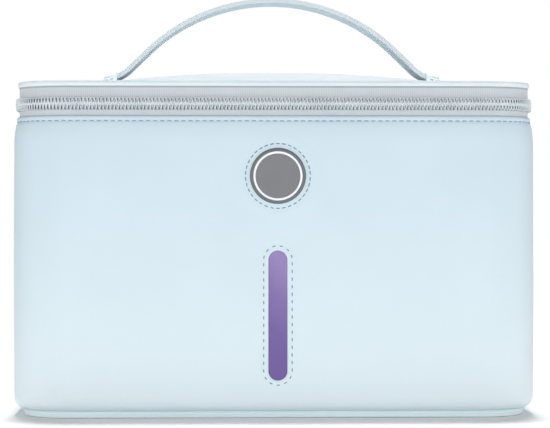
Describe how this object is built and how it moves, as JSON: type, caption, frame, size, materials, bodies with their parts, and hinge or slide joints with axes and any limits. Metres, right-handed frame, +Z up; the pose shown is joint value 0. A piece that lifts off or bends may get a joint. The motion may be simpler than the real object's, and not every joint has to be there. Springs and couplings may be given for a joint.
{
  "type": "pacifier sterilizer case",
  "caption": "Box-shaped zip-up sterilizer case with a hinged lid, strap handle, front push button, glowing window and ultraviolet lamps in floor and lid.",
  "frame": {"origin": "centre of the underside, where the case stands", "axes": "+X to the right-hand side seen from the front, -Y to the front with the button and window, +Z up"},
  "size_m": [0.3146, 0.193, 0.2532],
  "materials": {
    "body_leather": "pale blue soft leather cloth over moulded foam",
    "base_leather": "pale blue leather cloth",
    "binding_leather": "pale blue leather binding, stitched",
    "lid_leather": "pale blue leather cloth over moulded foam",
    "hinge_leather": "pale blue leather strip, folded",
    "lining": "polished film on the foam",
    "zip_tape": "woven tape, pale grey-blue",
    "zip_coil": "pale grey coil",
    "slider_metal": "plated metal",
    "strap_webbing": "thick leather-faced strap, pale grey-blue",
    "steel": "plated steel",
    "panel_plastic": "white moulded plastic",
    "inner_plastic": "pale moulded plastic",
    "quartz": "clear",
    "circuit_board": "green board",
    "lamp": "lamp with a ceramic base",
    "magnet": "nickel-plated magnet",
    "spacer_plastic": "natural nylon",
    "jack_plastic": "black plastic",
    "collar_plastic": "pale grey plastic",
    "ribbon": "grey flat lead",
    "window_violet": "violet tinted pane",
    "bezel_plastic": "pale blue plastic",
    "button_plastic": "grey plastic",
    "plunger_plastic": "coloured switch plunger"
  },
  "bodies": {
    "case": {"base_cap": "base_leather", "body_shell": "body_leather", "body_hem": "binding_leather", "chamber_liner": "lining", "lower_zip_tape": "zip_tape", "lower_zip_coil": "zip_coil", "lower_hinge_strip": "hinge_leather", "zip_stop": "zip_coil", "base_lamp_panel": "panel_plastic", "base_lamp_glasses": "quartz", "base_lamp_board": "circuit_board", "base_lamps": "lamp", "base_panel_screws": "steel", "lid_sensor_magnet": "magnet", "control_board": "circuit_board", "board_spacers": "spacer_plastic", "power_jack": "jack_plastic", "inlet_collar": "collar_plastic", "front_harness": "ribbon", "control_frame": "inner_plastic", "control_housing": "panel_plastic", "housing_screws": "steel", "front_board": "circuit_board", "indicator_lamps": "lamp", "light_guide": "quartz", "window_lens": "window_violet", "window_bezel": "bezel_plastic", "button_bezel": "button_plastic", "button_nut": "inner_plastic", "switch_body": "jack_plastic"},
    "lid": {"upper_zip_tape": "zip_tape", "upper_zip_coil": "zip_coil", "upper_hinge_strip": "hinge_leather", "lid_rim": "binding_leather", "lid_shell": "lid_leather", "strap_root_left": "strap_webbing", "strap_root_right": "strap_webbing", "strap_cover_left": "lid_leather", "strap_cover_right": "lid_leather", "handle_backing_plates": "steel", "handle_rivets": "steel", "lid_lamp_panel": "panel_plastic", "lid_lamp_glasses": "quartz", "lid_lamp_board": "circuit_board", "lid_lamps": "lamp", "lid_panel_screws": "steel", "lid_sensor_board": "circuit_board"},
    "handle": {"strap_arch": "strap_webbing"},
    "button": {"button_cap": "button_plastic"},
    "plunger": {"switch_plunger": "plunger_plastic"},
    "slider": {"zip_slider": "slider_metal"},
    "pull": {"zip_pull": "slider_metal"}
  },
  "joints": [
    {"name": "lid_hinge", "type": "hinge", "parent": "case", "child": "lid", "pos_m": [0, 0.092, 0.1841], "axis": [-1, 0, 0], "range_deg": [0, 105], "deforming": ["upper_hinge_strip", "lower_hinge_strip", "upper_zip_tape", "upper_zip_coil"]},
    {"name": "handle_tilt", "type": "hinge", "parent": "lid", "child": "handle", "pos_m": [0, 0, 0.206], "axis": [1, 0, 0], "range_deg": [-45, 45], "stiffness_Nm_per_rad": 0.05, "deforming": ["strap_root_left", "strap_root_right"]},
    {"name": "button_press", "type": "slide", "parent": "case", "child": "button", "axis": [0, 1, 0], "range_m": [0, 0.0005], "stiffness_N_per_m": 3000, "springref_m": -0.0002},
    {"name": "plunger_press", "type": "slide", "parent": "case", "child": "plunger", "axis": [0, 1, 0], "range_m": [0, 0.0005]},
    {"name": "slider_travel", "type": "slide", "parent": "case", "child": "slider", "axis": [0, -1, 0], "range_m": [0, 0.1], "deforming": ["lower_zip_tape", "lower_zip_coil"]},
    {"name": "pull_swing", "type": "hinge", "parent": "slider", "child": "pull", "pos_m": [0.1569, 0.0477, 0.1841], "axis": [0, 0, -1], "range_deg": [0, 175]}
  ],
  "couplings": [
    {"joint": "plunger_press", "follows": "button_press", "ratio": 1}
  ]
}
